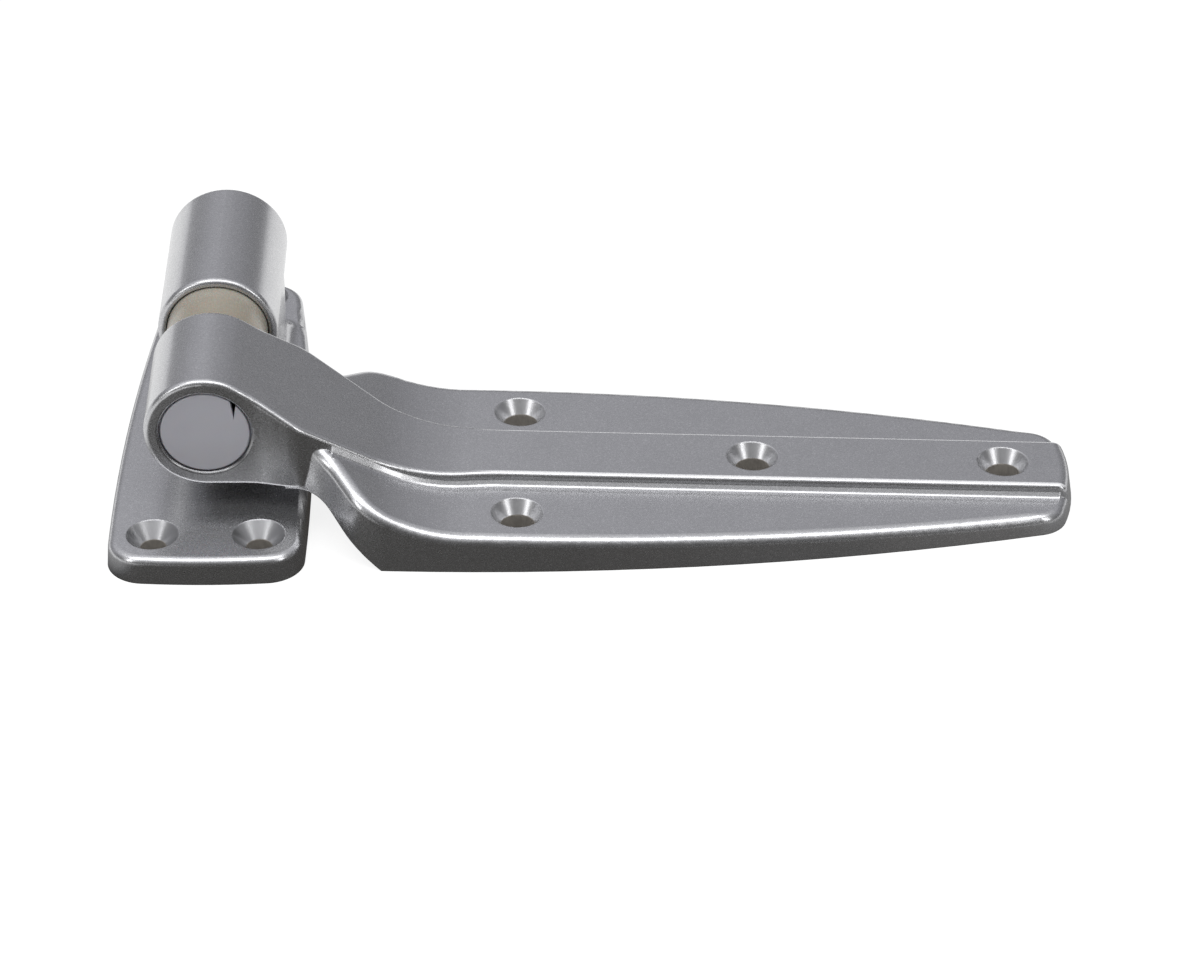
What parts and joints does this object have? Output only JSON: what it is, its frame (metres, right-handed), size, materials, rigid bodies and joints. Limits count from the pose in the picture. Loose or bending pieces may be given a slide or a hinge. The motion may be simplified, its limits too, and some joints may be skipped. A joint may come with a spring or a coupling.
{
  "type": "flush hinge",
  "caption": "Cam-lift hinge with a narrow flange leaf, a long tapered strap leaf on an S-shaped arm, a plugged barrel and countersunk screw holes.",
  "frame": {"origin": "middle of the flange plate's back face, in the plane that both leaves' backs lie in", "axes": "+X along the strap towards its tip, +Y along the pin from the strap barrel to the flange barrel, +Z out of the door's face"},
  "size_m": [0.2368, 0.1296, 0.043],
  "materials": {
    "casting": "satin aluminium-coloured coat with a fine sparkle",
    "cam_nylon": "natural nylon",
    "pin_steel": "ground steel",
    "cap_plastic": "moulded plastic, semi-matte"
  },
  "bodies": {
    "flange": {"flange_leaf": "casting", "lower_cam": "cam_nylon"},
    "pin": {"hinge_pin": "pin_steel"},
    "strap": {"strap_leaf": "casting", "upper_cam": "cam_nylon", "end_cap": "cap_plastic"}
  },
  "joints": [
    {"name": "door_swing", "type": "hinge", "parent": "flange", "child": "pin", "pos_m": [0, 0, 0.028], "axis": [0, -1, 0], "range_deg": [0, 90]},
    {"name": "cam_lift", "type": "slide", "parent": "pin", "child": "strap", "axis": [0, -1, 0], "range_m": [0, 0.0101]}
  ],
  "couplings": [
    {"joint": "cam_lift", "follows": "door_swing", "m_per_rad": 0.0063662}
  ]
}
